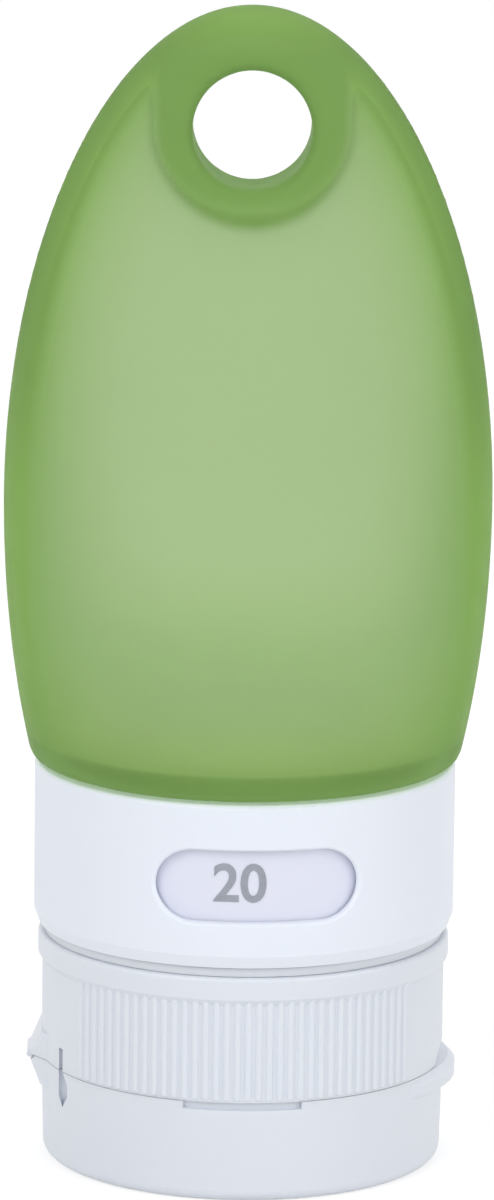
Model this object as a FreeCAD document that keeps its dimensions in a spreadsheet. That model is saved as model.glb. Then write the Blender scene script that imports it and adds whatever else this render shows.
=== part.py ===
import FreeCAD, Part
import math
import os
import Sketcher

# Soft travel bottle of about 60 ml, standing upside down on its flip-top screw cap.
# Millimetres, +Z up, origin in the middle of the lid's flat top. The label window faces -Y but for a small
# turn of its collar. The lid's hinge is at -X and its thumb tab at +X.

# Driving sizes, one spreadsheet cell each
SIZES = {
    # heights, stacked from the lid's flat top upwards
    "lid_height": 10.7,
    "cap_height": 13.3,
    "flange_thickness": 0.85,
    "collar_height": 17.2,
    "body_height": 79.0,
    # clearances
    "turn_gap": 0.2,
    "seat_gap": 0.05,
    "seam_gap": 0.06,
    "plug_gap": 0.25,
    "overrun": 1.0,
    # silicone body
    "half_width": 25.4,
    "widest_rise": 27.2,
    "lower_reach": 57.0,
    "shoulder_thickness": 2.4,
    "shoulder_round": 1.5,
    "body_wall": 1.9,
    "crown_wall": 3.0,
    "hang_tab_depth": 10.8,
    "hang_tab_height": 18.5,
    "hang_tab_round": 5.0,
    "hole_radius": 6.15,
    "hole_drop": 12.45,
    "hole_flare": 1.8,
    "boss_radius": 10.0,
    "neck_wall": 1.95,
    "mouth_lip": 1.8,
    # neck ring
    "ring_wall": 1.95,
    "ring_lead": 0.5,
    "thread_room": 0.9,
    "flange_setback": 1.1,
    "key_width": 2.0,
    "key_height": 0.7,
    "key_length": 12.0,
    # label ring and window collar
    "label_wall": 1.8,
    "collar_radius": 22.0,
    "collar_wall": 1.0,
    "collar_lip": 1.0,
    "collar_edge": 0.45,
    "collar_bevel_height": 1.3,
    "collar_bevel_depth": 0.5,
    "window_length": 20.6,
    "window_height": 7.6,
    "window_edge": 0.35,
    "window_turn": 3.6,
    # cap body
    "cap_setback": 0.9,
    "cap_wall": 1.8,
    "deck_thickness": 1.8,
    "rim_step": 0.45,
    "rim_step_height": 0.7,
    "rim_band": 2.3,
    "rim_edge": 0.4,
    "rib_count": 36,
    "rib_pitch_angle": 3.0,
    "rib_height": 0.25,
    "rib_round": 0.42,
    "rib_lift": 0.3,
    "register_wall": 1.2,
    "register_height": 1.4,
    "spout_radius": 5.2,
    "spout_height": 2.6,
    "spout_edge": 0.4,
    "orifice_radius": 3.0,
    "scoop_radius": 3.0,
    "scoop_depth": 0.8,
    # valve, its cup and its retainer
    "valve_radius": 7.2,
    "valve_rim": 1.1,
    "valve_rim_width": 2.8,
    "valve_web": 0.65,
    "valve_dome": 0.35,
    "slit_length": 5.0,
    "slit_width": 0.15,
    "cup_wall": 1.2,
    "retainer_thickness": 1.3,
    "retainer_width": 2.4,
    "snap_reach": 0.45,
    "snap_thickness": 0.5,
    # lid
    "lid_overhang": 0.05,
    "lid_draft": 0.25,
    "lid_wall": 1.4,
    "lid_floor": 1.5,
    "lid_edge": 1.2,
    "plug_reach": 1.5,
    "plug_wall": 0.9,
    "notch_half_angle": 17.0,
    "notch_height": 0.8,
    "notch_depth": 0.6,
    "thumb_reach": 1.3,
    "thumb_half_angle": 34.0,
    "thumb_height": 3.2,
    "thumb_edge_height": 1.2,
    "thumb_bevel": 0.7,
    # living hinge between cap and lid
    "hinge_stand": 1.2,
    "hinge_nose": 0.35,
    "fold_width": 5.2,
    "lug_width": 16.6,
    "lug_height": 2.8,
    "lug_root": 2.6,
    "groove_setback": 2.2,
    "groove_depth": 0.5,
    "cap_groove_width": 0.4,
    "cap_groove_height": 2.4,
    "lid_groove_width": 0.9,
    "lid_groove_height": 3.8,
}

# Where the lid's leaf-shaped groove is widest, as shares of its height from the rim down
LEAF_SHARES = (0.3, 0.7)

# Angles round the upper half of the body's outline where its sections are taken, as shares of a right angle
CROWN_SHARES = [step / 9 for step in range(10)]

# How the body's depth fades from round to the hang tab: 1 is a plain quarter wave, more is slimmer
TAPER_POWER = 1.5

NODES = (
    "silicone_body",
    "neck_ring",
    "label_ring",
    "window_collar",
    "cap_body",
    "slit_valve",
    "valve_retainer",
    "flip_lid",
)

doc = FreeCAD.newDocument("travel_bottle")
sheet = doc.addObject("Spreadsheet::Sheet", "Sizes")
for row, (alias, number) in enumerate(SIZES.items(), start=1):
    sheet.set(f"A{row}", alias)
    sheet.set(f"B{row}", str(number))
    sheet.setAlias(f"B{row}", alias)
doc.recompute()


# Levels that several pieces share, as expressions
SEAM = "Sizes.lid_height"
LID_RIM = f"({SEAM} - Sizes.seam_gap)"
HINGE_LEVEL = f"({SEAM} - Sizes.seam_gap / 2)"
DECK = f"({SEAM} + Sizes.deck_thickness)"
RING_BOTTOM = f"({DECK} + Sizes.mouth_lip)"
CAP_RIM = f"({SEAM} + Sizes.cap_height)"
FLANGE_BOTTOM = f"({CAP_RIM} + Sizes.seat_gap)"
FLANGE_TOP = f"({FLANGE_BOTTOM} + Sizes.flange_thickness)"
COLLAR_BOTTOM = f"({FLANGE_TOP} + Sizes.turn_gap)"
COLLAR_TOP = f"({COLLAR_BOTTOM} + Sizes.collar_height)"
SHOULDER = f"({COLLAR_TOP} + Sizes.turn_gap)"
CAVITY_FLOOR = f"({SHOULDER} + Sizes.shoulder_thickness)"
WIDEST = f"({SHOULDER} + Sizes.widest_rise)"
TOP = f"({SHOULDER} + Sizes.body_height)"
HOLE_LEVEL = f"({TOP} - Sizes.hole_drop)"
VALVE_TOP = f"({DECK} + Sizes.valve_rim)"
RETAINER_BOTTOM = f"({VALVE_TOP} + Sizes.seat_gap)"
RETAINER_TOP = f"({RETAINER_BOTTOM} + Sizes.retainer_thickness)"
SNAP_BOTTOM = f"({RETAINER_TOP} + Sizes.seat_gap)"
CUP_TOP = f"({SNAP_BOTTOM} + Sizes.snap_thickness)"
SPOUT_TIP = f"({SEAM} - Sizes.spout_height)"

# Radii that several pieces share, all led from the collar's
COLLAR_BORE = "(Sizes.collar_radius - Sizes.collar_wall)"
LABEL_OUTER = f"({COLLAR_BORE} - Sizes.turn_gap)"
LABEL_BORE = f"({LABEL_OUTER} - Sizes.label_wall)"
SLEEVE = f"({LABEL_BORE} - Sizes.seat_gap)"
RING_BORE = f"({SLEEVE} - Sizes.ring_wall)"
NECK_OUTER = f"({RING_BORE} - Sizes.seat_gap)"
MOUTH = f"({NECK_OUTER} - Sizes.neck_wall)"
CAP_RADIUS = "(Sizes.collar_radius - Sizes.cap_setback)"
CAP_BORE = f"({CAP_RADIUS} - Sizes.cap_wall)"
THREAD_ROOT = f"({CAP_BORE} - Sizes.thread_room)"
CAP_BAND = f"({CAP_RADIUS} + Sizes.rim_step)"
LID_RADIUS = f"({CAP_RADIUS} + Sizes.lid_overhang)"
LID_BORE = f"({LID_RADIUS} - Sizes.lid_wall)"
REGISTER = f"({LID_BORE} - Sizes.turn_gap)"
PLUG = "(Sizes.orifice_radius - Sizes.plug_gap)"
CUP_BORE = "(Sizes.valve_radius + Sizes.seat_gap)"
RETAINER = f"({CUP_BORE} - Sizes.turn_gap)"

# Where the fold line and the grooves beside it stand, measured from the axis
HINGE_REACH = f"({CAP_RADIUS} + Sizes.hinge_stand)"
GROOVE_PLACE = f"({CAP_RADIUS} - Sizes.groove_setback)"
GROOVE_EDGE = f"({GROOVE_PLACE} + Sizes.cap_groove_width / 2)"
GROOVE_BOTTOM = f"(sqrt({CAP_RADIUS}^2 - {GROOVE_EDGE}^2) - Sizes.groove_depth)"

# How near two measures of the built shapes are when they count as the same, and points looked at on an edge
SAME = 1e-6
ON_WALL = 1e-4
EDGE_SAMPLES = 24


def value(expression):
    """Number that an expression of sheet cells has now."""
    return float(sheet.evalExpression(expression))


def new_body(name):
    body = doc.addObject("PartDesign::Body", name)
    body.Label = name
    return body


def origin_plane(body, role):
    return next(feature for feature in body.Origin.OriginFeatures if feature.Role == role)


def new_sketch(body, name, role, offset="0"):
    """Empty sketch on one of the body's origin planes, moved along the plane's normal."""
    sketch = body.newObject("Sketcher::SketchObject", name)
    sketch.AttachmentSupport = (origin_plane(body, role), [""])
    sketch.MapMode = "FlatFace"
    sketch.setExpression("AttachmentOffset.Base.z", offset)
    return sketch


def pin_point(sketch, geometry, point, across, up):
    """Holds a point of the sketch at a pair of expressions, measured from the sketch's origin."""
    for kind, expression in (("DistanceX", across), ("DistanceY", up)):
        constraint = Sketcher.Constraint(kind, -1, 1, geometry, point, value(expression))
        index = sketch.addConstraint(constraint)
        sketch.setExpression(f"Constraints[{index}]", expression)


def polygon(sketch, corners):
    """Closed outline of straight edges through pairs of expressions."""
    places = [FreeCAD.Vector(value(across), value(up), 0) for across, up in corners]
    edges = []
    for start, end in zip(places, places[1:] + places[:1]):
        edges.append(sketch.addGeometry(Part.LineSegment(start, end)))
    for edge, following in zip(edges, edges[1:] + edges[:1]):
        sketch.addConstraint(Sketcher.Constraint("Coincident", edge, 2, following, 1))
    for edge, (across, up) in zip(edges, corners):
        pin_point(sketch, edge, 1, across, up)


def rectangle(sketch, left, right, low, high):
    polygon(sketch, [(left, low), (right, low), (right, high), (left, high)])


def circle(sketch, across, up, radius):
    centre = FreeCAD.Vector(value(across), value(up), 0)
    geometry = sketch.addGeometry(Part.Circle(centre, FreeCAD.Vector(0, 0, 1), value(radius)))
    pin_point(sketch, geometry, 3, across, up)
    index = sketch.addConstraint(Sketcher.Constraint("Radius", geometry, value(radius)))
    sketch.setExpression(f"Constraints[{index}]", radius)


def stadium(sketch, level, length, height):
    """Round-ended slot, centred across the sketch at the given level."""
    radius = value(height) / 2
    reach = value(length) / 2 - radius
    middle = value(level)
    normal = FreeCAD.Vector(0, 0, 1)
    ends = []
    for side, turn in ((1, -math.pi / 2), (-1, math.pi / 2)):
        round_end = Part.Circle(FreeCAD.Vector(side * reach, middle, 0), normal, radius)
        ends.append(sketch.addGeometry(Part.ArcOfCircle(round_end, turn, turn + math.pi)))
    right, left = ends
    above = FreeCAD.Vector(0, radius, 0)
    right_centre = FreeCAD.Vector(reach, middle, 0)
    left_centre = FreeCAD.Vector(-reach, middle, 0)
    upper = sketch.addGeometry(Part.LineSegment(right_centre + above, left_centre + above))
    lower = sketch.addGeometry(Part.LineSegment(left_centre - above, right_centre - above))
    for first, second in ((right, upper), (upper, left), (left, lower), (lower, right)):
        sketch.addConstraint(Sketcher.Constraint("Tangent", first, 2, second, 1))
    pin_point(sketch, right, 3, f"({length} - {height}) / 2", level)
    pin_point(sketch, left, 3, f"-({length} - {height}) / 2", level)
    index = sketch.addConstraint(Sketcher.Constraint("Radius", right, radius))
    sketch.setExpression(f"Constraints[{index}]", f"{height} / 2")


def finish_feature(body, feature, cuts):
    """Recomputes and makes sure that the feature changed the solid the way it should."""
    before = body.Shape.Volume if not body.Shape.isNull() else 0
    doc.recompute()
    change = feature.Shape.Volume - before
    if (change >= 0) if cuts else (change <= 0):
        raise ValueError(f"{feature.Label} left {body.Label} as it was")
    return feature


def revolve(body, name, sketch, axis="V_Axis", cuts=False, half_angle=None):
    """Turns a profile all the way round, or to both sides by a half angle."""
    feature = body.newObject("PartDesign::Groove" if cuts else "PartDesign::Revolution", name)
    feature.Profile = sketch
    feature.ReferenceAxis = (sketch, [axis])
    feature.Angle = 360
    if half_angle:
        feature.Midplane = True
        feature.setExpression("Angle", f"2 * {half_angle}")
    return finish_feature(body, feature, cuts)


def extrude(body, name, sketch, length, cuts=False, symmetric=False, backwards=False):
    feature = body.newObject("PartDesign::Pocket" if cuts else "PartDesign::Pad", name)
    feature.Profile = sketch
    feature.SideType = "Symmetric" if symmetric else "One side"
    feature.Reversed = backwards
    feature.setExpression("Length", length)
    return finish_feature(body, feature, cuts)


def mirror(body, name, original, role):
    feature = body.newObject("PartDesign::Mirrored", name)
    feature.Originals = [original]
    feature.MirrorPlane = (origin_plane(body, role), [""])
    body.Tip = feature
    doc.recompute()
    return feature


def polar(body, name, original, count, pitch):
    """Copies of a feature round Z at a fixed pitch."""
    feature = body.newObject("PartDesign::PolarPattern", name)
    feature.Originals = [original]
    feature.Axis = (origin_plane(body, "Z_Axis"), [""])
    feature.Mode = "Spacing"
    feature.setExpression("Offset", pitch)
    feature.setExpression("Occurrences", count)
    body.Tip = feature
    doc.recompute()
    return feature


def fillet(body, name, edges, radius):
    """Rounds edges of the body's last feature, given by their names."""
    base = body.Tip
    feature = body.newObject("PartDesign::Fillet", name)
    feature.Base = (base, edges)
    feature.setExpression("Radius", radius)
    return finish_feature(body, feature, True)


def ring_edge(body, radius, level):
    """Names of the full circles round Z with the given radius and level on the body's last feature."""
    found = []
    for index, edge in enumerate(body.Tip.Shape.Edges, start=1):
        if not isinstance(edge.Curve, Part.Circle) or not edge.isClosed():
            continue
        centre = edge.Curve.Center
        same_size = math.isclose(edge.Curve.Radius, value(radius), rel_tol=SAME)
        same_level = math.isclose(centre.z, value(level), abs_tol=SAME)
        on_axis = math.hypot(centre.x, centre.y) < SAME
        if same_size and same_level and on_axis:
            found.append(f"Edge{index}")
    return found


# Silicone body


def body_rail(half_width, half_tab, floor, crown):
    """Smooth curve of the half-width, half-depth and height of the body's oval sections, up to the crown.

    The front outline is two half ellipses that meet at the widest level, and the curve runs by the angle
    round them. The section is round up to the end of the shoulder's foot and then flattens smoothly to the
    hang tab, which rounds over at the crown.
    """
    widest = value(WIDEST)
    lower_reach = value("Sizes.lower_reach")
    taper_start = value(f"{CAVITY_FLOOR} + Sizes.shoulder_thickness")
    taper_length = value(f"{TOP} - Sizes.hang_tab_height") - taper_start
    tab_round = value("Sizes.hang_tab_round")
    lowest = -math.asin((widest - floor) / lower_reach)
    angles = [lowest, lowest / 2] + [share * math.pi / 2 for share in CROWN_SHARES]
    points = []
    for angle in angles[:-1]:
        reach = lower_reach if angle < 0 else crown - widest
        height = widest + reach * math.sin(angle)
        across = half_width * math.cos(angle)
        along = min(1, max(0, (height - taper_start) / taper_length))
        depth = half_tab + (across - half_tab) * math.cos(along * math.pi / 2) ** TAPER_POWER
        over = max(0, (height - crown + tab_round) / tab_round)
        points.append(FreeCAD.Vector(across, depth * math.sqrt(1 - over**2), height))
    points.append(FreeCAD.Vector(0, 0, crown))
    spread = -half_width * math.sin(lowest)
    tip_slope = half_tab * math.sqrt((crown - widest) / tab_round)
    rail = Part.BSplineCurve()
    rail.interpolate(
        Points=points,
        Parameters=angles,
        InitialTangent=FreeCAD.Vector(spread, spread, lower_reach * math.cos(lowest)),
        FinalTangent=FreeCAD.Vector(-half_width, -tip_slope, 0),
        Scale=False,
    )
    return rail


def oval_skin(half_width, half_tab, floor, crown):
    """Face with oval sections, smooth to its closed tip and open at the floor."""
    rail = body_rail(half_width, half_tab, floor, crown)
    corner_weight = math.sqrt(0.5)
    ring = [(1, 0), (1, 1), (0, 1), (-1, 1), (-1, 0), (-1, -1), (0, -1), (1, -1), (1, 0)]
    poles = [[FreeCAD.Vector(p.x * x, p.y * y, p.z) for p in rail.getPoles()] for x, y in ring]
    weights = [[corner_weight if x and y else 1] * rail.NbPoles for x, y in ring]
    surface = Part.BSplineSurface()
    surface.buildFromPolesMultsKnots(
        poles,
        [3, 2, 2, 2, 3],
        rail.getMultiplicities(),
        [0, 1, 2, 3, 4],
        rail.getKnots(),
        False,
        False,
        2,
        rail.Degree,
        weights,
    )
    return surface.toShape()


def footed_skin(half_width, half_tab, foot, crown):
    """Solid of an oval skin on a round foot, which carries the skin's slope down to a rounded edge."""
    foot_height = value("Sizes.shoulder_thickness")
    floor = foot + foot_height
    lower_reach = value("Sizes.lower_reach")
    angle = math.asin((value(WIDEST) - floor) / lower_reach)
    floor_radius = half_width * math.cos(angle)
    foot_radius = floor_radius - foot_height * half_width / lower_reach * math.tan(angle)
    cone = Part.makeCone(foot_radius, floor_radius, foot_height, FreeCAD.Vector(0, 0, foot))
    lower_edge = [edge for edge in cone.Edges if edge.BoundBox.ZMax < floor]
    rounded = cone.makeFillet(value("Sizes.shoulder_round"), lower_edge)
    faces = [face for face in rounded.Faces if face.BoundBox.ZMin < floor - value("Sizes.seat_gap")]
    shell = Part.makeShell(faces + [oval_skin(half_width, half_tab, floor, crown)])
    shell.sewShape()
    return Part.Solid(shell)


def flared_hole():
    """Cutter for the hang hole, along Y, that opens with a round lip at the tab's two faces."""
    radius = value("Sizes.hole_radius")
    flare = value("Sizes.hole_flare")
    face = value("Sizes.hang_tab_depth / 2")
    end = face + value("Sizes.overrun")
    level = value(HOLE_LEVEL)
    bend_share = 1 - math.sqrt(0.5)

    def at(across, along):
        return FreeCAD.Vector(across, along, level)

    def lip(side):
        inner = at(radius, side * (face - flare))
        middle = at(radius + flare * bend_share, side * (face - flare * bend_share))
        outer = at(radius + flare, side * face)
        return Part.Arc(inner, middle, outer).toShape()

    edges = [
        Part.makeLine(at(0, -end), at(radius + flare, -end)),
        Part.makeLine(at(radius + flare, -end), at(radius + flare, -face)),
        lip(-1),
        Part.makeLine(at(radius, flare - face), at(radius, face - flare)),
        lip(1),
        Part.makeLine(at(radius + flare, face), at(radius + flare, end)),
        Part.makeLine(at(radius + flare, end), at(0, end)),
        Part.makeLine(at(0, end), at(0, -end)),
    ]
    profile = Part.Face(Part.Wire(Part.__sortEdges__(edges)))
    return profile.revolve(at(0, 0), FreeCAD.Vector(0, 1, 0), 360)


def shape_feature(name, shape):
    feature = doc.addObject("Part::Feature", name)
    feature.Shape = shape
    return feature


def upright_cylinder(name, radius, low, high):
    cylinder = doc.addObject("Part::Cylinder", name)
    cylinder.setExpression("Radius", radius)
    cylinder.setExpression("Height", f"{high} - {low}")
    cylinder.setExpression("Placement.Base.z", low)
    return cylinder


def union(name, pieces):
    feature = doc.addObject("Part::MultiFuse", name)
    feature.Shapes = pieces
    return feature


def difference(name, base, tool):
    feature = doc.addObject("Part::Cut", name)
    feature.Base = base
    feature.Tool = tool
    return feature


def hang_boss():
    """Upright slab with a round lower end, which keeps the cavity off the hang hole."""
    disc = doc.addObject("Part::Cylinder", "boss_disc")
    disc.setExpression("Radius", "Sizes.boss_radius")
    disc.setExpression("Height", "2 * Sizes.half_width")
    disc.setExpression("Placement.Base.y", "Sizes.half_width")
    disc.setExpression("Placement.Base.z", HOLE_LEVEL)
    disc.Placement.Rotation = FreeCAD.Rotation(FreeCAD.Vector(1, 0, 0), 90)
    slab = doc.addObject("Part::Box", "boss_slab")
    slab.setExpression("Length", "2 * Sizes.boss_radius")
    slab.setExpression("Width", "2 * Sizes.half_width")
    slab.setExpression("Height", "Sizes.hole_drop")
    slab.setExpression("Placement.Base.x", "-Sizes.boss_radius")
    slab.setExpression("Placement.Base.y", "-Sizes.half_width")
    slab.setExpression("Placement.Base.z", HOLE_LEVEL)
    return union("hang_boss", [disc, slab])


def make_silicone_body():
    half_width = value("Sizes.half_width")
    half_tab = value("Sizes.hang_tab_depth / 2")
    wall = value("Sizes.body_wall")
    outside = footed_skin(half_width, half_tab, value(SHOULDER), value(TOP))
    crown = value(f"{TOP} - Sizes.crown_wall")
    inside = footed_skin(half_width - wall, half_tab - wall, value(CAVITY_FLOOR), crown)
    outer_skin = shape_feature("outer_skin", outside)
    inner_skin = shape_feature("inner_skin", inside)
    hang_hole = shape_feature("hang_hole", flared_hole())
    neck_tube = upright_cylinder("neck_tube", NECK_OUTER, DECK, CAVITY_FLOOR)
    mouth_lip = upright_cylinder("mouth_lip", THREAD_ROOT, DECK, RING_BOTTOM)
    below_mouth = f"({DECK} - Sizes.overrun)"
    above_floor = f"({CAVITY_FLOOR} + Sizes.overrun)"
    neck_bore = upright_cylinder("neck_bore", MOUTH, below_mouth, above_floor)
    cavity = difference("cavity", inner_skin, hang_boss())
    solid = union("silicone_solid", [outer_skin, neck_tube, mouth_lip])
    hollow = union("silicone_hollow", [cavity, neck_bore, hang_hole])
    difference("silicone_body", solid, hollow)
    doc.recompute()


# Stiff rings round the neck


def make_neck_ring():
    body = new_body("neck_ring")
    profile = new_sketch(body, "neck_ring_profile", "XZ_Plane")
    flange = "(Sizes.collar_radius - Sizes.flange_setback)"
    polygon(
        profile,
        [
            (RING_BORE, RING_BOTTOM),
            (f"{THREAD_ROOT} - Sizes.ring_lead", RING_BOTTOM),
            (THREAD_ROOT, f"{RING_BOTTOM} + Sizes.ring_lead"),
            (THREAD_ROOT, FLANGE_BOTTOM),
            (flange, FLANGE_BOTTOM),
            (flange, FLANGE_TOP),
            (SLEEVE, FLANGE_TOP),
            (SLEEVE, SHOULDER),
            (RING_BORE, SHOULDER),
        ],
    )
    revolve(body, "neck_ring_turned", profile)
    key = new_sketch(body, "neck_ring_key_plan", "XY_Plane", FLANGE_TOP)
    half_key = "Sizes.key_width / 2"
    rectangle(key, f"-{half_key}", half_key, f"{SLEEVE} - Sizes.key_height", f"{SLEEVE} + Sizes.key_height")
    extrude(body, "neck_ring_key", key, "Sizes.key_length")


def make_label_ring():
    body = new_body("label_ring")
    profile = new_sketch(body, "label_ring_profile", "XZ_Plane")
    label_top = f"({COLLAR_TOP} - Sizes.collar_lip - Sizes.turn_gap)"
    rectangle(profile, LABEL_BORE, LABEL_OUTER, FLANGE_TOP, label_top)
    revolve(body, "label_ring_turned", profile)
    keyway = new_sketch(body, "label_ring_keyway_plan", "XY_Plane", FLANGE_TOP)
    half_slot = "(Sizes.key_width / 2 + Sizes.seat_gap)"
    slot_end = f"{SLEEVE} + Sizes.key_height + Sizes.seat_gap"
    rectangle(keyway, f"-{half_slot}", half_slot, f"{LABEL_BORE} - Sizes.key_height", slot_end)
    slot_length = "Sizes.key_length + Sizes.seat_gap"
    extrude(body, "label_ring_keyway", keyway, slot_length, cuts=True, backwards=True)


def window_rim(body):
    """Names of the window's edges that lie on the collar's outside."""
    radius = value("Sizes.collar_radius")
    low = value(COLLAR_BOTTOM)
    high = value(COLLAR_TOP)
    found = []
    for index, edge in enumerate(body.Tip.Shape.Edges, start=1):
        if edge.isClosed() or not edge.Vertexes:
            continue
        samples = edge.discretize(Number=EDGE_SAMPLES)
        on_outside = all(math.isclose(math.hypot(p.x, p.y), radius, rel_tol=ON_WALL) for p in samples)
        between = edge.BoundBox.ZMin > low and edge.BoundBox.ZMax < high
        seam = edge.BoundBox.XLength < SAME and edge.BoundBox.YLength < SAME
        bevel = math.isclose(edge.BoundBox.ZMin, value(f"{COLLAR_BOTTOM} + Sizes.collar_bevel_height"))
        if on_outside and between and not seam and not bevel:
            found.append(f"Edge{index}")
    return found


def make_window_collar():
    body = new_body("window_collar")
    profile = new_sketch(body, "collar_profile", "XZ_Plane")
    lip_bore = f"({SLEEVE} + Sizes.turn_gap)"
    lip_bottom = f"{COLLAR_TOP} - Sizes.collar_lip"
    polygon(
        profile,
        [
            (COLLAR_BORE, COLLAR_BOTTOM),
            ("Sizes.collar_radius - Sizes.collar_bevel_depth", COLLAR_BOTTOM),
            ("Sizes.collar_radius", f"{COLLAR_BOTTOM} + Sizes.collar_bevel_height"),
            ("Sizes.collar_radius", COLLAR_TOP),
            (lip_bore, COLLAR_TOP),
            (lip_bore, lip_bottom),
            (COLLAR_BORE, lip_bottom),
        ],
    )
    revolve(body, "collar_turned", profile)
    fillet(body, "collar_top_edge", ring_edge(body, "Sizes.collar_radius", COLLAR_TOP), "Sizes.collar_edge")
    window = new_sketch(body, "window_outline", "XZ_Plane")
    window_level = f"({COLLAR_BOTTOM} + Sizes.collar_height / 2)"
    stadium(window, window_level, "Sizes.window_length", "Sizes.window_height")
    window.AttachmentOffset.Rotation = FreeCAD.Rotation(FreeCAD.Vector(0, 1, 0), 1)
    window.setExpression("AttachmentOffset.Rotation.Angle", "Sizes.window_turn")
    cut_length = "Sizes.collar_radius + Sizes.overrun"
    extrude(body, "label_window", window, cut_length, cuts=True, backwards=True)
    fillet(body, "window_edge", window_rim(body), "Sizes.window_edge")


# Living hinge, made alike on cap and lid


def add_hinge_lug(body, wall_radius, level, side):
    """Wedge that leads from the wall out to the fold line, above (side 1) or below (side -1) the level."""
    sign = "" if side > 0 else "-"
    root = f"-({wall_radius} - Sizes.lug_root)"
    plan = new_sketch(body, f"{body.Label}_lug_plan", "XY_Plane", level)
    polygon(
        plan,
        [
            (root, "Sizes.lug_width / 2"),
            (f"-{HINGE_REACH}", "Sizes.fold_width / 2"),
            (f"-{HINGE_REACH}", "-Sizes.fold_width / 2"),
            (root, "-Sizes.lug_width / 2"),
        ],
    )
    extrude(body, f"{body.Label}_lug", plan, "Sizes.lug_height", backwards=side < 0)
    outside = f"-({HINGE_REACH} + Sizes.overrun)"
    nose_level = f"{level} + ({sign}Sizes.hinge_nose)"
    lug_end = f"{level} + ({sign}Sizes.lug_height)"
    past_end = f"{level} + ({sign}(Sizes.lug_height + Sizes.overrun))"
    slope = new_sketch(body, f"{body.Label}_lug_slope", "XZ_Plane")
    polygon(
        slope,
        [
            (outside, nose_level),
            (f"-{HINGE_REACH}", nose_level),
            (f"-{wall_radius}", lug_end),
            (f"-{wall_radius}", past_end),
            (outside, past_end),
        ],
    )
    extrude(body, f"{body.Label}_lug_face", slope, "Sizes.lug_width", cuts=True, symmetric=True)


def cut_hinge_grooves(body, corners):
    """Shallow groove beside the hinge, cut from the front, and its mirror at the back."""
    outline = new_sketch(body, f"{body.Label}_groove_outline", "XZ_Plane", HINGE_REACH)
    polygon(outline, corners)
    depth = f"{HINGE_REACH} - {GROOVE_BOTTOM}"
    groove = extrude(body, f"{body.Label}_groove", outline, depth, cuts=True)
    mirror(body, f"{body.Label}_grooves", groove, "XZ_Plane")


# Cap with its spout, valve cup and grip ribs


def cap_profile():
    """Outline of the cap's section, round from the orifice along the outside and back inside."""
    register_tip = f"{SEAM} - Sizes.register_height"
    register_bore = f"({REGISTER} - Sizes.register_wall)"
    band_bottom = f"({CAP_RIM} - Sizes.rim_band)"
    snap = f"({CUP_BORE} - Sizes.snap_reach)"
    cup = f"({CUP_BORE} + Sizes.cup_wall)"
    return [
        ("Sizes.orifice_radius", SPOUT_TIP),
        ("Sizes.spout_radius", SPOUT_TIP),
        ("Sizes.spout_radius", SEAM),
        (register_bore, SEAM),
        (register_bore, register_tip),
        (REGISTER, register_tip),
        (REGISTER, SEAM),
        (CAP_RADIUS, SEAM),
        (CAP_RADIUS, f"{band_bottom} - Sizes.rim_step_height"),
        (CAP_BAND, band_bottom),
        (CAP_BAND, CAP_RIM),
        (CAP_BORE, CAP_RIM),
        (CAP_BORE, DECK),
        (cup, DECK),
        (cup, CUP_TOP),
        (snap, CUP_TOP),
        (snap, SNAP_BOTTOM),
        (CUP_BORE, SNAP_BOTTOM),
        (CUP_BORE, DECK),
        ("Sizes.orifice_radius", DECK),
    ]


def add_grip_ribs(body):
    """Fine upright ribs in two groups, front and back, that leave the hinge and thumb tab sides smooth."""
    centre = f"({CAP_RADIUS} + Sizes.rib_height - Sizes.rib_round)"
    half_span = "((Sizes.rib_count - 1) * Sizes.rib_pitch_angle / 2 * 1 deg)"
    rib_length = "Sizes.cap_height - Sizes.rim_band - Sizes.rib_lift"
    for name, side in (("front", "-"), ("back", "")):
        plan = new_sketch(body, f"{name}_rib_plan", "XY_Plane", f"{SEAM} + Sizes.rib_lift")
        across = f"{side}{centre} * sin({half_span})"
        along = f"{side}{centre} * cos({half_span})"
        circle(plan, across, along, "Sizes.rib_round")
        rib = extrude(body, f"{name}_rib", plan, rib_length)
        polar(body, f"{name}_ribs", rib, "Sizes.rib_count", "Sizes.rib_pitch_angle")


def make_cap_body():
    body = new_body("cap_body")
    profile = new_sketch(body, "cap_profile", "XZ_Plane")
    polygon(profile, cap_profile())
    revolve(body, "cap_turned", profile)
    fillet(body, "cap_rim_edge", ring_edge(body, CAP_BAND, CAP_RIM), "Sizes.rim_edge")
    fillet(body, "spout_edge", ring_edge(body, "Sizes.spout_radius", SPOUT_TIP), "Sizes.spout_edge")
    scoop = new_sketch(body, "scoop_outline", "XZ_Plane")
    scoop_centre = f"{CAP_RADIUS} + Sizes.scoop_radius - Sizes.scoop_depth"
    circle(scoop, scoop_centre, SEAM, "Sizes.scoop_radius")
    extrude(body, "thumb_scoop", scoop, f"2 * {CAP_RADIUS}", cuts=True, symmetric=True)
    add_hinge_lug(body, CAP_RADIUS, SEAM, 1)
    nose = new_sketch(body, "hinge_nose_outline", "XZ_Plane")
    circle(nose, f"-{HINGE_REACH}", HINGE_LEVEL, "Sizes.hinge_nose")
    extrude(body, "hinge_nose", nose, "Sizes.fold_width", symmetric=True)
    groove_top = f"{SEAM} + Sizes.cap_groove_height"
    left = f"-{GROOVE_EDGE}"
    right = f"{left} + Sizes.cap_groove_width"
    below = f"{SEAM} - Sizes.overrun"
    cut_hinge_grooves(body, [(left, below), (right, below), (right, groove_top), (left, groove_top)])
    add_grip_ribs(body)


# Valve and its retainer


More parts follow.
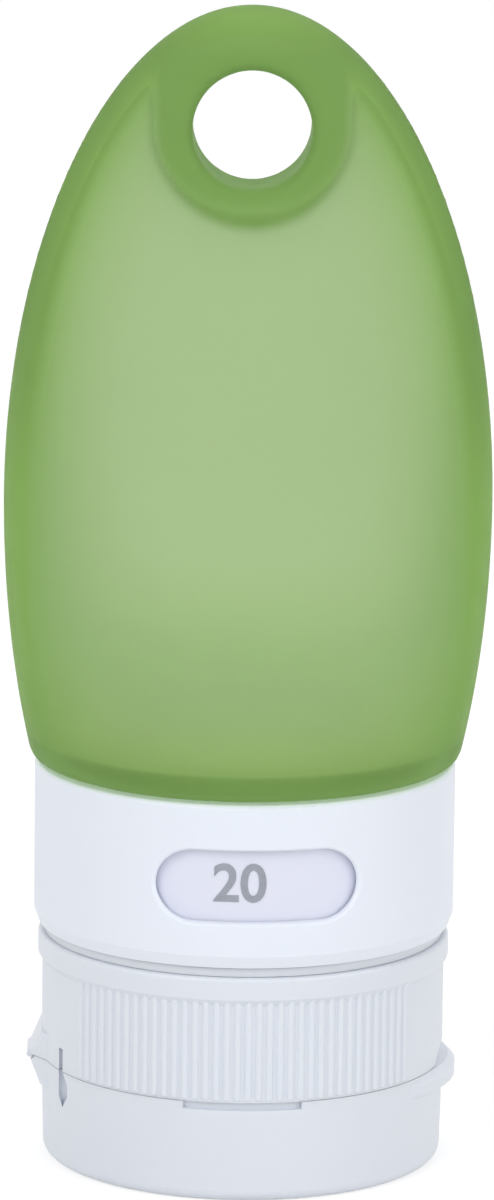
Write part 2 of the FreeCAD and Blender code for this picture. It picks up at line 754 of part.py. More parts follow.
def make_slit_valve():
    body = new_body("slit_valve")
    profile = new_sketch(body, "valve_profile", "XZ_Plane")
    web_radius = "(Sizes.valve_radius - Sizes.valve_rim_width)"
    dome = f"{DECK} + Sizes.valve_dome"
    polygon(
        profile,
        [
            ("0", dome),
            ("Sizes.orifice_radius", DECK),
            ("Sizes.valve_radius", DECK),
            ("Sizes.valve_radius", VALVE_TOP),
            (web_radius, VALVE_TOP),
            (f"{web_radius} - Sizes.valve_dome", f"{DECK} + Sizes.valve_web"),
            ("0", f"{dome} + Sizes.valve_web"),
        ],
    )
    revolve(body, "valve_turned", profile)
    half_length = "Sizes.slit_length / 2"
    half_width = "Sizes.slit_width / 2"
    cuts = (("long", half_length, half_width), ("cross", half_width, half_length))
    for name, across, along in cuts:
        slit = new_sketch(body, f"{name}_slit_outline", "XY_Plane", DECK)
        rectangle(slit, f"-{across}", across, f"-{along}", along)
        extrude(body, f"{name}_slit", slit, "Sizes.valve_rim", cuts=True, backwards=True)


def make_valve_retainer():
    body = new_body("valve_retainer")
    profile = new_sketch(body, "retainer_profile", "XZ_Plane")
    rectangle(profile, f"{RETAINER} - Sizes.retainer_width", RETAINER, RETAINER_BOTTOM, RETAINER_TOP)
    revolve(body, "retainer_turned", profile)


# Lid


def add_thumb_tab(body):
    """Crescent lip: turned about an upright line set off towards the tab, so that it fades into the wall."""
    tip = f"({LID_RADIUS} + Sizes.thumb_reach)"
    span = "(Sizes.thumb_half_angle * 1 deg)"
    wall_shift = f"({tip} - {LID_RADIUS} * cos({span}))"
    centre = f"(({tip}^2 - {LID_RADIUS}^2) / (2 * {wall_shift}))"
    sketch = new_sketch(body, "thumb_tab_profile", "XZ_Plane")
    edge_top = f"{LID_RIM} - Sizes.thumb_bevel"
    polygon(
        sketch,
        [
            (LID_BORE, LID_RIM),
            (f"{tip} - Sizes.thumb_bevel", LID_RIM),
            (tip, edge_top),
            (tip, f"{edge_top} - Sizes.thumb_edge_height"),
            (f"{LID_RADIUS} - Sizes.lid_draft", f"{LID_RIM} - Sizes.thumb_height"),
            (LID_BORE, f"{LID_RIM} - Sizes.thumb_height"),
        ],
    )
    low = FreeCAD.Vector(value(centre), 0, 0)
    high = FreeCAD.Vector(value(centre), value(LID_RIM), 0)
    axis = sketch.addGeometry(Part.LineSegment(low, high), True)
    pin_point(sketch, axis, 1, centre, "0")
    pin_point(sketch, axis, 2, centre, LID_RIM)
    revolve(body, "thumb_tab", sketch, axis="Axis0")


def hollow_lid(body):
    """Cuts the lid's inside and leaves the plug as a thin-walled ring."""
    plug_tip = f"({SPOUT_TIP} + Sizes.plug_reach)"
    past_rim = f"{LID_RIM} + Sizes.overrun"
    inside = new_sketch(body, "lid_inside_profile", "XZ_Plane")
    polygon(
        inside,
        [
            (PLUG, "Sizes.lid_floor"),
            (LID_BORE, "Sizes.lid_floor"),
            (LID_BORE, past_rim),
            ("0", past_rim),
            ("0", plug_tip),
            (PLUG, plug_tip),
        ],
    )
    revolve(body, "lid_inside", inside, cuts=True)
    core = new_sketch(body, "plug_core_profile", "XZ_Plane")
    rectangle(core, "0", f"{PLUG} - Sizes.plug_wall", "Sizes.lid_floor", past_rim)
    revolve(body, "plug_core", core, cuts=True)


def cut_front_notch(body):
    """Shallow notch for a fingernail, in the outside of the lid's rim."""
    profile = new_sketch(body, "notch_profile", "YZ_Plane")
    outside = f"-({LID_RADIUS} + Sizes.overrun)"
    bottom = f"-({LID_RADIUS} - Sizes.notch_depth)"
    rectangle(profile, outside, bottom, f"{LID_RIM} - Sizes.notch_height", f"{LID_RIM} + Sizes.overrun")
    revolve(body, "front_notch", profile, cuts=True, half_angle="Sizes.notch_half_angle")


def make_flip_lid():
    body = new_body("flip_lid")
    profile = new_sketch(body, "lid_profile", "XZ_Plane")
    base_radius = f"({LID_RADIUS} - Sizes.lid_draft)"
    polygon(profile, [("0", "0"), (base_radius, "0"), (LID_RADIUS, LID_RIM), ("0", LID_RIM)])
    revolve(body, "lid_turned", profile)
    fillet(body, "lid_edge", ring_edge(body, base_radius, "0"), "Sizes.lid_edge")
    add_thumb_tab(body)
    add_hinge_lug(body, LID_RADIUS, LID_RIM, -1)
    seat = new_sketch(body, "hinge_seat_outline", "XZ_Plane")
    circle(seat, f"-{HINGE_REACH}", HINGE_LEVEL, "Sizes.hinge_nose + Sizes.turn_gap")
    extrude(body, "hinge_seat", seat, "Sizes.lug_width", cuts=True, symmetric=True)
    hollow_lid(body)
    cut_front_notch(body)
    left = f"-{GROOVE_EDGE}"
    narrow = f"{left} + Sizes.cap_groove_width"
    wide = f"{left} + Sizes.lid_groove_width"
    upper, lower = (f"{LID_RIM} - Sizes.lid_groove_height * {share}" for share in LEAF_SHARES)
    tip = f"{LID_RIM} - Sizes.lid_groove_height"
    past_rim = f"{LID_RIM} + Sizes.overrun"
    leaf = [(left, lower), (narrow, tip), (wide, lower), (wide, upper), (narrow, LID_RIM)]
    cut_hinge_grooves(body, leaf + [(narrow, past_rim), (left, past_rim)])


def export_nodes():
    """Checks every object and then writes one file for each piece."""
    doc.recompute()
    for item in doc.Objects:
        if "Invalid" in item.State or "Error" in item.State:
            raise ValueError(f"{item.Label} failed")
    pieces = {name: doc.getObject(name).Shape for name in NODES}
    for name, shape in pieces.items():
        if shape.isNull() or not shape.isValid() or len(shape.Solids) != 1:
            raise ValueError(f"{name} is not one valid solid")
    os.makedirs("parts", exist_ok=True)
    for name, shape in pieces.items():
        shape.exportStep(f"parts/{name}.step")
        print(name, round(shape.Volume), "cubic mm")


make_silicone_body()
make_neck_ring()
make_label_ring()
make_window_collar()
make_cap_body()
make_slit_valve()
make_valve_retainer()
make_flip_lid()
export_nodes()
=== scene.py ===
import math

import bpy
from mathutils import Matrix, Vector
from mathutils.bvhtree import BVHTree


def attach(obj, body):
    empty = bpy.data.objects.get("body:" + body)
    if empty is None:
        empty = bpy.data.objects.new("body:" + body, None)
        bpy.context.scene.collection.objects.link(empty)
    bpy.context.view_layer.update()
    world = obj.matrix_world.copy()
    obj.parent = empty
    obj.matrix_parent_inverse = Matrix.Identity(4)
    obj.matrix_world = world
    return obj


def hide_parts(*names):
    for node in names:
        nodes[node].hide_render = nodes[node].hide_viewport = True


# Looks of a soft travel bottle that stands upside down on its flip-top screw cap.
# Metres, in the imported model's frame: +Z up, the lid's hinge at -X, the label window towards -Y but turned
# a little to +X.

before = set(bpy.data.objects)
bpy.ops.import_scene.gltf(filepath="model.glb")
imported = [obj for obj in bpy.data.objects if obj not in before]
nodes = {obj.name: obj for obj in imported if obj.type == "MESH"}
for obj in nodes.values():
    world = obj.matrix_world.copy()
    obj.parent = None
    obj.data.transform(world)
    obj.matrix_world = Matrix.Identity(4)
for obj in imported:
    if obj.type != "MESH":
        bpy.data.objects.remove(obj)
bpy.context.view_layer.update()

MM = 0.001

# Silicone body: how finely its mesh is remade and how far its edges are eased
SILICONE_VOXEL = 0.5 * MM
SILICONE_EASING = 0.5
SILICONE_EASING_ROUNDS = 6

# Silicone body: its outline from the front
BODY_WIDEST = 69.7 * MM
BODY_LOWER_REACH = 57.0 * MM
BODY_UPPER_REACH = 51.8 * MM
BODY_HALF_WIDTH = 25.4 * MM

# Silicone body: its solid boss and shoulder, which are deep in colour. Their edges are soft, they fade out
# into the wall and towards the outline, and the boss gets paler up the crown under a painted highlight.
BOSS_RADIUS = 10.0 * MM
HOLE_LEVEL = 109.05 * MM
SHOULDER_TOP = 45.4 * MM
BOSS_BLUR = 0.8 * MM
SHOULDER_BLUR = 0.4 * MM
BOSS_FADE_SHARE = 0.3
BOSS_FADE_SCALE = 2.0 * MM
SHOULDER_FADE_SHARE = 0.6
SHOULDER_FADE_SCALE = 3.2 * MM
SOLID_START = -1.0 * MM
SOLID_FULL = 1.5 * MM
CROWN_START = 116.5 * MM
CROWN_TOP = 121.5 * MM
CROWN_HIGHLIGHT_SHARE = 0.8

# Silicone body: its inner skin, which is looked for from just off the surface and not close round the hang
# hole, and which is milky in the neck
SKIN_STEP = 0.02 * MM
HOLE_SURROUND = 9.0 * MM
NECK_TOP = 40.5 * MM
NECK_MILKINESS = 0.7

# Silicone body: how the painted shade at its side edges, which partly stands for the deeper silicone there,
# fades inwards, how wide its painted shade along the upper rim is and between which heights it sets in, and
# from which height down the wall gets milky
EDGE_SHADE_WIDTH = 2.2 * MM
EDGE_SHADE_SCALE = 4.5 * MM
RIM_SHADE_WIDTH = 3.6 * MM
RIM_SHADE_FULL_WIDTH = 1.2 * MM
RIM_SHADE_START_HEIGHT = 66.0 * MM
RIM_SHADE_FULL_HEIGHT = 88.0 * MM
MILKY_BELOW = 59.5 * MM
MILKY_POWER = 1.25

# Silicone body: colour and clearness of its thin wall, and of what lies over it in turn, the milky wall, the
# painted shade of the side edges, and the solid places, whose colour is also painted along the upper rim as
# shade
SILICONE_WALL = ((0.633, 0.735, 0.523), 0.87)
SILICONE_LAYERS = {
    "milky": ((0.52, 0.735, 0.255), 0.45),
    # Painted shade of the side edges, which partly stands for the deeper silicone there
    "edge": ((0.335, 0.545, 0.15), 0.60),
    # Solid silicone, whose colour is also painted along the upper rim as shade
    "solid": ((0.243, 0.408, 0.119), 0.45),
}

# Silicone body: what its depth and its surface let pass, and how uneven its tone, polish and surface are
SILICONE_IOR = 1.15
SILICONE_PASSED = (0.445, 0.66, 0.215, 1)
SILICONE_DENSITY = 40.0
SILICONE_LAMP_SHARE = (0.97, 0.985, 0.94, 1)
SILICONE_CLOUD_GRAIN = 18 * MM
SILICONE_CLOUD_SHARE = 0.97
SILICONE_POLISH_GRAIN = 3 * MM
SILICONE_ROUGHNESS = (0.46, 0.56)
SILICONE_WAVE_GRAIN = 9 * MM
SILICONE_WAVE_DEPTH = 0.03 * MM
SILICONE_GRAIN = 0.22 * MM
SILICONE_GRAIN_DEPTH = 0.006 * MM

# White plastics: colour, roughness, size of the grain and how much of the light sinks in
PLASTICS = {
    "collar_plastic": ((0.81, 0.85, 0.94), 0.42, 0.18 * MM, 0.2),
    "cap_plastic": ((0.74, 0.775, 0.84), 0.4, 0.16 * MM, 0.3),
    "ring_plastic": ((0.72, 0.75, 0.80), 0.45, 0.2 * MM, 0.2),
    "label_plastic": ((0.75, 0.765, 0.88), 0.5, 0.15 * MM, 0.1),
}
PLASTIC_NODES = {
    "window_collar": "collar_plastic",
    "label_ring": "label_plastic",
    "neck_ring": "ring_plastic",
    "valve_retainer": "ring_plastic",
    "cap_body": "cap_plastic",
    "flip_lid": "cap_plastic",
}

# White plastics: how uneven their tone, polish and surface are, and how far light goes in
PLASTIC_IOR = 1.49
PLASTIC_TONE_GRAIN = 14 * MM
PLASTIC_TONE_SHARE = 0.985
PLASTIC_POLISH_GRAIN = 2.5 * MM
PLASTIC_SMOOTHER = 0.05
PLASTIC_ROUGHER = 0.06
PLASTIC_SINK_GRAIN = 7 * MM
PLASTIC_SINK_DEPTH = 0.012 * MM
PLASTIC_GRAIN_DEPTH = 0.004 * MM
PLASTIC_LIGHT_RADIUS = (1.0, 1.0, 1.0)
PLASTIC_LIGHT_DEPTH = 1.2 * MM

# Slit valve: the two ends of its tone, and how uneven its polish and surface are
VALVE_TONES = ((0.78, 0.80, 0.80, 1), (0.84, 0.85, 0.85, 1))
VALVE_TONE_GRAIN = 4 * MM
VALVE_POLISH_GRAIN = 1.2 * MM
VALVE_ROUGHNESS = (0.28, 0.4)
VALVE_GRAIN = 0.3 * MM
VALVE_GRAIN_DEPTH = 0.004 * MM
VALVE_SOFTNESS = 0.4
VALVE_LIGHT_DEPTH = 1.0 * MM

# Ink: the two ends of its tone, and how uneven its cover is
INK_TONES = ((0.27, 0.285, 0.335, 1), (0.37, 0.39, 0.445, 1))
INK_GRAIN = 0.7 * MM
INK_DETAIL = 4.0
INK_ROUGHNESS = (0.3, 0.45)
INK_DEPTH = 0.008 * MM

# Noise: its plain and its fine detail, and the middle of its range, in which most of it lies
PLAIN_DETAIL = 2.0
FINE_DETAIL = 3.0
NOISE_LOW = 0.3
NOISE_HIGH = 0.7

# Screw thread between neck ring and cap, a right-hand one
THREAD_PITCH = 3.5 * MM
THREAD_SINK = 0.05 * MM
THREAD_BASE = 1.5 * MM
THREAD_CREST = 0.7 * MM
THREAD_STEPS_PER_TURN = 96
THREAD_RUNOUT_TURNS = 0.12
NECK_ROOT = 18.4 * MM
NECK_CREST = 19.0 * MM
NECK_THREAD_LOW = 15.4 * MM
NECK_THREAD_TURNS = 2.0
CAP_ROOT = 19.3 * MM
CAP_CREST = 18.75 * MM
CAP_THREAD_LOW = NECK_THREAD_LOW + THREAD_PITCH / 2
CAP_THREAD_TURNS = 1.6

# Numbers printed round the label ring, the second of which shows in the window
DIAL_NUMBERS = (10, 20, 30, 40, 50, 60)
DIAL_RADIUS = 20.8 * MM
DIAL_LEVEL = 33.7 * MM
DIAL_HEIGHT = 4.0 * MM
DIAL_FONT_RATIO = 1.4
DIAL_CURVE_STEPS = 6
DIAL_PROUD = 0.05 * MM
DIAL_SINK = 0.06 * MM
DIAL_STROKE = 0.1 * MM
DIAL_TURN = math.radians(-61.4)

# Camera, from the photograph
CAMERA_DISTANCE = 790 * MM
CAMERA_HEIGHT = 227.6 * MM
CAMERA_AZIMUTH = math.radians(-0.3)
CAMERA_PITCH = math.radians(12.04)
CAMERA_ROLL = math.radians(0.66)
CAMERA_LENS = 232.6
CAMERA_SENSOR = 36.0

# Floor: its colour to the light, its glow and its shaded colour to the eye, and its size
FLOOR_COLOUR = (0.86, 0.86, 0.86, 1)
FLOOR_GLOW = 0.68
FLOOR_SHADE_COLOUR = (0.4, 0.4, 0.4, 1)
FLOOR_SIZE = 8.0

# World: its light, and the white backdrop that the eye sees in place of it
WHITE = (1, 1, 1, 1)
WORLD_LEVEL = 0.60
BACKDROP_LEVEL = 1.0

# Lamps: name, place, size and level of each, which is the brightness that it gives a white surface facing it,
# and the place that they point at
LAMPS = (
    ("key_softbox", Vector((-0.75, -0.95, 0.85)), 0.8, 0.30),
    ("fill_softbox", Vector((0.95, -0.85, 0.55)), 0.9, 0.26),
    ("top_softbox", Vector((0.1, 0.5, 1.3)), 0.9, 0.18),
)
LAMP_TARGET = Vector((0, 0, 0.06))


# Materials


def new_material(name):
    """Material with one Principled shader, and its node tree and shader."""
    material = bpy.data.materials.new(name)
    material.use_nodes = True
    tree = material.node_tree
    return material, tree, tree.nodes["Principled BSDF"]


def object_coordinates(tree):
    return tree.nodes.new("ShaderNodeTexCoord").outputs["Object"]


def noise(tree, coordinates, grain, detail=PLAIN_DETAIL):
    """Smooth noise from 0 to 1 whose blotches are about the given size across."""
    node = tree.nodes.new("ShaderNodeTexNoise")
    node.inputs["Scale"].default_value = 1 / grain
    node.inputs["Detail"].default_value = detail
    tree.links.new(coordinates, node.inputs["Vector"])
    return node.outputs["Fac"]


def between(tree, factor, low, high):
    """Number that runs from low to high as a noise goes through the middle of its range."""
    node = tree.nodes.new("ShaderNodeMapRange")
    node.inputs["From Min"].default_value = NOISE_LOW
    node.inputs["From Max"].default_value = NOISE_HIGH
    node.inputs["To Min"].default_value = low
    node.inputs["To Max"].default_value = high
    tree.links.new(factor, node.inputs["Value"])
    return node.outputs["Result"]


def blend_colours(tree, factor, first, second):
    """Colour that runs from the first to the second, each of which is a colour or another node's colour."""
    node = tree.nodes.new("ShaderNodeMix")
    node.data_type = "RGBA"
    ends = [socket for socket in node.inputs if socket.type == "RGBA"]
    for socket, colour in zip(ends, (first, second)):
        if isinstance(colour, tuple):
            socket.default_value = colour
        else:
            tree.links.new(colour, socket)
    for socket in node.inputs:
        if socket.name == "Factor" and socket.type == "VALUE":
            tree.links.new(factor, socket)
    return next(socket for socket in node.outputs if socket.type == "RGBA")


def blend_numbers(tree, factor, first, second):
    """Number that runs from the first, a plain one or another node's, to the second."""
    node = tree.nodes.new("ShaderNodeMapRange")
    node.inputs["To Max"].default_value = second
    if isinstance(first, float):
        node.inputs["To Min"].default_value = first
    else:
        tree.links.new(first, node.inputs["To Min"])
    tree.links.new(factor, node.inputs["Value"])
    return node.outputs["Result"]


def bump(tree, height, depth, under=None):
    """Surface relief of the given depth, on top of another relief where one is given."""
    node = tree.nodes.new("ShaderNodeBump")
    node.inputs["Strength"].default_value = 1.0
    node.inputs["Distance"].default_value = depth
    tree.links.new(height, node.inputs["Height"])
    if under is not None:
        tree.links.new(under, node.inputs["Normal"])
    return node.outputs["Normal"]


def shaded(colour, share):
    """The colour times a share, for the other end of a faint variation."""
    red, green, blue = colour
    return (red * share, green * share, blue * share, 1)


def let_lamps_through(tree, shader, share):
    """The shader, but with the given share of lamp light passing straight on at each surface."""
    path = tree.nodes.new("ShaderNodeLightPath")
    passing = tree.nodes.new("ShaderNodeBsdfTransparent")
    passing.inputs["Color"].default_value = share
    choice = tree.nodes.new("ShaderNodeMixShader")
    tree.links.new(path.outputs["Is Shadow Ray"], choice.inputs["Fac"])
    tree.links.new(shader.outputs["BSDF"], choice.inputs[1])
    tree.links.new(passing.outputs["BSDF"], choice.inputs[2])
    return choice.outputs["Shader"]


def stored_number(tree, name):
    """Number that the mesh keeps at each of its points."""
    node = tree.nodes.new("ShaderNodeAttribute")
    node.attribute_name = name
    return node.outputs["Fac"]


def silicone_material():
    """Frosted green silicone: light passes through, and thick places are deeper in colour and less clear. Its
    side edges and upper rim are deeper in colour partly by painted shade, and its crown is paler by a painted
    highlight.
    """
    material, tree, shader = new_material("silicone")
    place = object_coordinates(tree)
    wall_colour, clearness = SILICONE_WALL
    cloud = noise(tree, place, SILICONE_CLOUD_GRAIN)
    colour = blend_colours(tree, cloud, shaded(wall_colour, SILICONE_CLOUD_SHARE), shaded(wall_colour, 1.0))
    for name, (next_colour, next_clearness) in SILICONE_LAYERS.items():
        share = stored_number(tree, name)
        colour = blend_colours(tree, share, colour, shaded(next_colour, 1.0))
        clearness = blend_numbers(tree, share, clearness, next_clearness)
    tree.links.new(colour, shader.inputs["Base Color"])
    tree.links.new(clearness, shader.inputs["Transmission Weight"])
    polish = between(tree, noise(tree, place, SILICONE_POLISH_GRAIN), *SILICONE_ROUGHNESS)
    tree.links.new(polish, shader.inputs["Roughness"])
    waves = bump(tree, noise(tree, place, SILICONE_WAVE_GRAIN), SILICONE_WAVE_DEPTH)
    grain = bump(tree, noise(tree, place, SILICONE_GRAIN, FINE_DETAIL), SILICONE_GRAIN_DEPTH, waves)
    tree.links.new(grain, shader.inputs["Normal"])
    shader.inputs["IOR"].default_value = SILICONE_IOR
    absorption = tree.nodes.new("ShaderNodeVolumeAbsorption")
    absorption.inputs["Color"].default_value = SILICONE_PASSED
    absorption.inputs["Density"].default_value = SILICONE_DENSITY
    output = tree.nodes["Material Output"]
    tree.links.new(absorption.outputs["Volume"], output.inputs["Volume"])
    tree.links.new(let_lamps_through(tree, shader, SILICONE_LAMP_SHARE), output.inputs["Surface"])
    return material


def plastic_material(name, colour, roughness, grain_size, softness):
    """Satin moulded plastic with a fine grain and a faintly uneven tone. Light sinks into it a little."""
    material, tree, shader = new_material(name)
    place = object_coordinates(tree)
    tone = noise(tree, place, PLASTIC_TONE_GRAIN)
    tinted = blend_colours(tree, tone, shaded(colour, PLASTIC_TONE_SHARE), shaded(colour, 1.0))
    tree.links.new(tinted, shader.inputs["Base Color"])
    patches = noise(tree, place, PLASTIC_POLISH_GRAIN, FINE_DETAIL)
    polish = between(tree, patches, roughness - PLASTIC_SMOOTHER, roughness + PLASTIC_ROUGHER)
    tree.links.new(polish, shader.inputs["Roughness"])
    sink = bump(tree, noise(tree, place, PLASTIC_SINK_GRAIN), PLASTIC_SINK_DEPTH)
    grain = bump(tree, noise(tree, place, grain_size, FINE_DETAIL), PLASTIC_GRAIN_DEPTH, sink)
    tree.links.new(grain, shader.inputs["Normal"])
    shader.inputs["IOR"].default_value = PLASTIC_IOR
    shader.inputs["Subsurface Weight"].default_value = softness
    shader.inputs["Subsurface Radius"].default_value = PLASTIC_LIGHT_RADIUS
    shader.inputs["Subsurface Scale"].default_value = PLASTIC_LIGHT_DEPTH
    return material


def valve_material():
    """Clear soft silicone of the slit valve."""
    material, tree, shader = new_material("valve_silicone")
    place = object_coordinates(tree)
    tone = noise(tree, place, VALVE_TONE_GRAIN)
    tree.links.new(blend_colours(tree, tone, *VALVE_TONES), shader.inputs["Base Color"])
    polish = between(tree, noise(tree, place, VALVE_POLISH_GRAIN), *VALVE_ROUGHNESS)
    tree.links.new(polish, shader.inputs["Roughness"])
    grain = bump(tree, noise(tree, place, VALVE_GRAIN), VALVE_GRAIN_DEPTH)
    tree.links.new(grain, shader.inputs["Normal"])
    shader.inputs["Subsurface Weight"].default_value = VALVE_SOFTNESS
    shader.inputs["Subsurface Scale"].default_value = VALVE_LIGHT_DEPTH
    return material


def ink_material():
    """Grey pad print, a little thin in places."""
    material, tree, shader = new_material("dial_ink")
    place = object_coordinates(tree)
    cover = noise(tree, place, INK_GRAIN, INK_DETAIL)
    tree.links.new(blend_colours(tree, cover, *INK_TONES), shader.inputs["Base Color"])
    tree.links.new(between(tree, cover, *INK_ROUGHNESS), shader.inputs["Roughness"])
    tree.links.new(bump(tree, cover, INK_DEPTH), shader.inputs["Normal"])
    return material


# Pieces


def wear(node_name, material):
    """Gives a CAD node its finish."""
    materials = nodes[node_name].data.materials
    materials.clear()
    materials.append(material)


def add_mesh(name, vertices, faces, material, smooth=True):
    mesh = bpy.data.meshes.new(name)
    mesh.from_pydata(vertices, [], faces)
    mesh.validate()
    mesh.materials.append(material)
    for polygon in mesh.polygons:
        polygon.use_smooth = smooth
    piece = bpy.data.objects.new(name, mesh)
    bpy.context.scene.collection.objects.link(piece)
    return piece


def settle(piece):
    """Applies a piece's modifiers to its mesh."""
    evaluated = piece.evaluated_get(bpy.context.evaluated_depsgraph_get())
    mesh = bpy.data.meshes.new_from_object(evaluated)
    piece.modifiers.clear()
    piece.data = mesh


def soft_step(number):
    """Runs softly from 0 to 1 as the number does."""
    share = min(1, max(0, number))
    return share * share * (3 - 2 * share)


def inside_outline(across, height):
    """How far a place is inside the body's outline, as seen from the front."""
    rise = height - BODY_WIDEST
    reach = BODY_UPPER_REACH if rise > 0 else BODY_LOWER_REACH
    share = math.hypot(across / BODY_HALF_WIDTH, rise / reach)
    steepness = math.hypot(across / BODY_HALF_WIDTH**2, rise / reach**2)
    return max(0, (1 - share) * share / steepness) if steepness else BODY_HALF_WIDTH


def outside_boss(across, height):
    """How far a place is outside the solid boss, which reaches from round the hang hole to the crown."""
    return math.hypot(across, min(0, height - HOLE_LEVEL)) - BOSS_RADIUS


def looks_into_cavity(tree, place, normal):
    """True for the inner skin, from which a line straight out meets silicone again."""
    if math.hypot(place.x, place.z - HOLE_LEVEL) < HOLE_SURROUND:
        return False
    return tree.ray_cast(place + normal * SKIN_STEP, normal)[0] is not None


def outer_skin_shares(place):
    """How milky the outer skin is at a place, how much painted side-edge shade it has, and how solid the body
    under it is, with painted shade along the upper rim and a painted highlight paling the crown.
    """
    across = abs(place.x)
    inward = inside_outline(across, place.z)
    from_boss = outside_boss(across, place.z)
    from_shoulder = place.z - SHOULDER_TOP
    boss = soft_step(0.5 - from_boss / (2 * BOSS_BLUR))
    shoulder = soft_step(0.5 - from_shoulder / (2 * SHOULDER_BLUR))
    fade = BOSS_FADE_SHARE * math.exp(-max(0, from_boss) / BOSS_FADE_SCALE)
    fade += SHOULDER_FADE_SHARE * math.exp(-max(0, from_shoulder) / SHOULDER_FADE_SCALE)
    solid = max(boss, shoulder)
    solid += (1 - solid) * fade
    solid *= soft_step((inward - SOLID_START) / (SOLID_FULL - SOLID_START))
    # Painted shade along the upper rim, which partly stands for the deeper silicone there
    painted_rim_shade = soft_step((RIM_SHADE_WIDTH - inward) / (RIM_SHADE_WIDTH - RIM_SHADE_FULL_WIDTH))
    painted_rim_shade *= soft_step((place.z - RIM_SHADE_START_HEIGHT) / (RIM_SHADE_FULL_HEIGHT - RIM_SHADE_START_HEIGHT))
    # Painted highlight, which pales the boss and the rim up the crown
    painted_crown_highlight = CROWN_HIGHLIGHT_SHARE * soft_step((place.z - CROWN_START) / (CROWN_TOP - CROWN_START))
    lowness = max(0, MILKY_BELOW - place.z) / (MILKY_BELOW - SHOULDER_TOP)
    return {
        "milky": min(1, lowness) ** MILKY_POWER,
        # Painted shade at the side edges, which partly stands for the deeper silicone there
        "edge": math.exp(-max(0, inward - EDGE_SHADE_WIDTH) / EDGE_SHADE_SCALE),
        "solid": max(solid, painted_rim_shade) * (1 - painted_crown_highlight),
    }


def inner_skin_shares(place):
    """The inner skin is plain clear wall, but milky in the neck, where hardly any light comes through."""
    milky = NECK_MILKINESS if place.z < NECK_TOP else 0
    return {"milky": milky, "edge": 0, "solid": 0}


def keep_shares(mesh):
    """Stores at each point of the mesh what its colour and clearness go by."""
    faces = [polygon.vertices for polygon in mesh.polygons]
    tree = BVHTree.FromPolygons([vertex.co for vertex in mesh.vertices], faces)
    shares = {name: [] for name in SILICONE_LAYERS}
    for vertex in mesh.vertices:
        inner = looks_into_cavity(tree, vertex.co, vertex.normal)
        here = inner_skin_shares(vertex.co) if inner else outer_skin_shares(vertex.co)
        for name, numbers in shares.items():
            numbers.append(here[name])
    for name, numbers in shares.items():
        stored = mesh.attributes.new(name, "FLOAT", "POINT")
        stored.data.foreach_set("value", numbers)


def make_silicone_body(material):
    """Soft skin in the body's form, with its cavity and hang hole and with every edge eased as in a mould."""
    mesh = nodes["silicone_body"].data.copy()
    piece = bpy.data.objects.new("soft_silicone_body", mesh)
    bpy.context.scene.collection.objects.link(piece)
    remake = piece.modifiers.new("remake", "REMESH")
    remake.mode = "VOXEL"
    remake.voxel_size = SILICONE_VOXEL
    remake.use_smooth_shade = True
    ease = piece.modifiers.new("ease", "SMOOTH")
    ease.factor = SILICONE_EASING
    ease.iterations = SILICONE_EASING_ROUNDS
    settle(piece)
    keep_shares(piece.data)
    piece.data.materials.clear()
    piece.data.materials.append(material)
    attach(piece, "bottle")
    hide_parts("silicone_body")


def thread_rings(root, crest, low, turns):
    """Corner points of the thread's section at each step round its helix, fading out at both ends."""
    steps = round(turns * THREAD_STEPS_PER_TURN)
    rings = []
    for step in range(steps + 1):
        turned = step / THREAD_STEPS_PER_TURN
        to_end = min(turned, turns - turned)
        share = math.sin(min(1, to_end / THREAD_RUNOUT_TURNS) * math.pi / 2)
        tip = root + (crest - root) * share
        foot = root - math.copysign(THREAD_SINK, crest - root)
        angle = turned * 2 * math.pi
        level = low + turned * THREAD_PITCH
        ring = []
        for radius, rise in (
            (foot, -THREAD_BASE / 2),
            (tip, -THREAD_CREST / 2),
            (tip, THREAD_CREST / 2),
            (foot, THREAD_BASE / 2),
        ):
            ring.append((radius * math.cos(angle), radius * math.sin(angle), level + rise))
        rings.append(ring)
    return rings


def make_thread(name, root, crest, low, turns, material, body):
    """Screw thread on a neck or in a bore, closed at both ends."""
    rings = thread_rings(root, crest, low, turns)
    corners = len(rings[0])
    vertices = [point for ring in rings for point in ring]
    outward = crest > root
    faces = []
    for step in range(len(rings) - 1):
        here = step * corners
        following = here + corners
        for corner in range(corners):
            beside = (corner + 1) % corners
            face = (here + corner, following + corner, following + beside, here + beside)
            faces.append(face if outward else face[::-1])
    first = tuple(range(corners))
    last = tuple(range(len(vertices) - corners, len(vertices)))
    faces.append(first if outward else first[::-1])
    faces.append(last[::-1] if outward else last)
    piece = add_mesh(name, vertices, faces, material, smooth=False)
    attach(piece, body)


def number_mesh(text):
    """Thin flat mesh of a number, centred on the origin."""
    curve = bpy.data.curves.new("number", "FONT")
    curve.body = text
    curve.align_x = "CENTER"
    curve.align_y = "CENTER"
    curve.size = DIAL_HEIGHT * DIAL_FONT_RATIO
    curve.resolution_u = DIAL_CURVE_STEPS
    curve.offset = DIAL_STROKE
    curve.extrude = (DIAL_PROUD + DIAL_SINK) / 2
    writer = bpy.data.objects.new("number_writer", curve)
    bpy.context.scene.collection.objects.link(writer)
    mesh = bpy.data.meshes.new_from_object(writer.evaluated_get(bpy.context.evaluated_depsgraph_get()))
    bpy.data.objects.remove(writer)
    bpy.data.curves.remove(curve)
    return mesh


